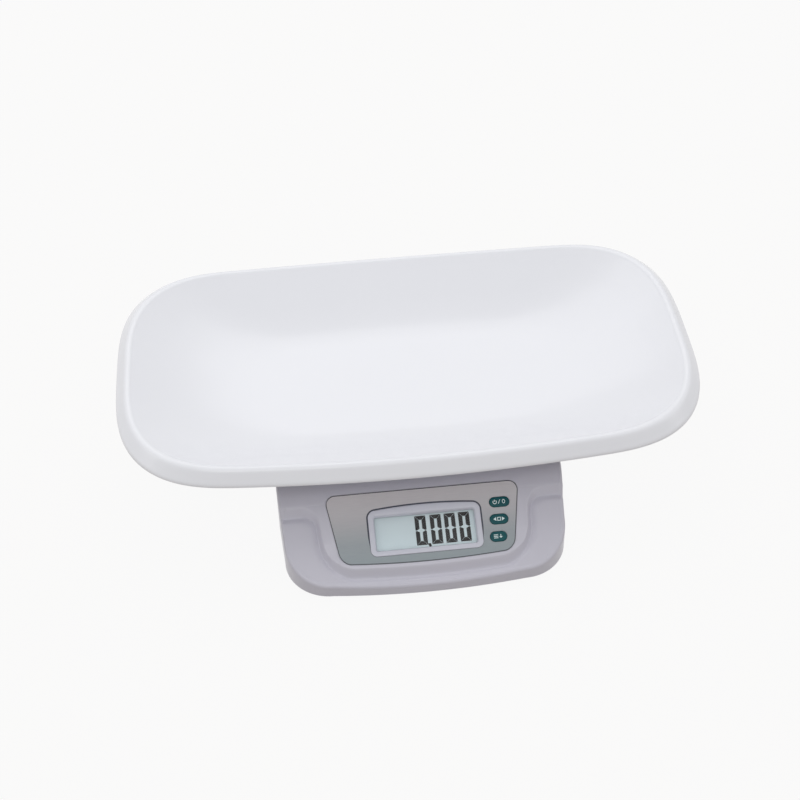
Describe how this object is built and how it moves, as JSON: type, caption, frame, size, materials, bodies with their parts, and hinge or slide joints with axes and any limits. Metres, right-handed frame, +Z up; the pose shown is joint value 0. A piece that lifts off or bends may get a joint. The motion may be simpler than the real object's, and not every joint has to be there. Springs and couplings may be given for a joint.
{
  "type": "digital baby weighing scale",
  "caption": "Baby weighing scale: curved lift-off tray on a low base with a sloping display panel, push buttons, load cell and battery compartment.",
  "frame": {"origin": "on the floor below the middle of the whole scale", "axes": "+Z up, +X along the tray, the display panel faces -Y"},
  "size_m": [0.55, 0.356, 0.1196],
  "materials": {
    "tray_white": "glossy moulded plastic",
    "case_lavender": "satin moulded plastic",
    "label_silver": "silver printed film",
    "button_teal": "matt key caps",
    "lcd_grey": "liquid crystal display",
    "clear_window": "clear window",
    "holder_white": "moulded plastic",
    "board_green": "circuit board",
    "black_plastic": "moulded plastic",
    "rubber_grey": "moulded rubber",
    "soft_strip": "layered conductive rubber",
    "steel": "zinc-plated steel",
    "aluminium": "milled aluminium",
    "contact_steel": "nickel-plated spring steel",
    "battery_wrap": "bare dark wrap",
    "lead_grey": "cable sheath"
  },
  "bodies": {
    "base": {"top_case": "case_lavender", "bottom_case": "case_lavender", "faceplate": "label_silver", "lcd_lens": "clear_window", "lcd_glass": "lcd_grey", "lcd_holder": "holder_white", "contact_strip": "soft_strip", "main_board": "board_green", "tact_switch_zero": "black_plastic", "tact_switch_mode": "black_plastic", "tact_switch_memory": "black_plastic", "buzzer": "black_plastic", "board_screw_1": "steel", "board_screw_2": "steel", "board_screw_3": "steel", "board_screw_4": "steel", "load_cell": "aluminium", "load_cell_plate": "steel", "lower_spacer": "aluminium", "lower_bolt_1": "steel", "lower_bolt_2": "steel", "overload_stop": "steel", "plate_screw_1": "steel", "plate_screw_2": "steel", "plate_screw_3": "steel", "plate_screw_4": "steel", "case_screw_1": "steel", "case_screw_2": "steel", "case_screw_3": "steel", "case_screw_4": "steel", "foot_1": "rubber_grey", "foot_2": "rubber_grey", "foot_3": "rubber_grey", "foot_4": "rubber_grey", "battery_cell_1": "battery_wrap", "battery_cell_2": "battery_wrap", "battery_cell_3": "battery_wrap", "battery_cell_4": "battery_wrap", "battery_contact_left": "contact_steel", "battery_contact_right": "contact_steel", "load_cell_lead": "lead_grey", "battery_lead": "lead_grey"},
    "tray_carrier": {"tray_carrier": "case_lavender", "carrier_pad_1": "rubber_grey", "carrier_pad_2": "rubber_grey", "carrier_pad_3": "rubber_grey", "carrier_pad_4": "rubber_grey", "upper_spacer": "aluminium", "upper_bolt_1": "steel", "upper_bolt_2": "steel"},
    "tray": {"tray": "tray_white"},
    "button_zero": {"button_zero": "button_teal"},
    "button_mode": {"button_mode": "button_teal"},
    "button_memory": {"button_memory": "button_teal"},
    "battery_door": {"battery_door": "case_lavender"}
  },
  "joints": [
    {"name": "weighing_flex", "type": "slide", "parent": "base", "child": "tray_carrier", "axis": [0, 0, -1], "range_m": [0, 0.00025], "stiffness_N_per_m": 60000, "springref_m": -0.00025},
    {"name": "tray_lift", "type": "slide", "parent": "tray_carrier", "child": "tray", "axis": [0, 0, 1], "range_m": [0, 0.08]},
    {"name": "button_zero_press", "type": "slide", "parent": "base", "child": "button_zero", "axis": [0, 0.4384, -0.8988], "range_m": [0, 0.0008], "stiffness_N_per_m": 150, "springref_m": -0.004},
    {"name": "button_mode_press", "type": "slide", "parent": "base", "child": "button_mode", "axis": [0, 0.4384, -0.8988], "range_m": [0, 0.0008], "stiffness_N_per_m": 150, "springref_m": -0.004},
    {"name": "button_memory_press", "type": "slide", "parent": "base", "child": "button_memory", "axis": [0, 0.4384, -0.8988], "range_m": [0, 0.0008], "stiffness_N_per_m": 150, "springref_m": -0.004},
    {"name": "battery_door_slide", "type": "slide", "parent": "base", "child": "battery_door", "axis": [0, 1, 0], "range_m": [0, 0.007]}
  ]
}
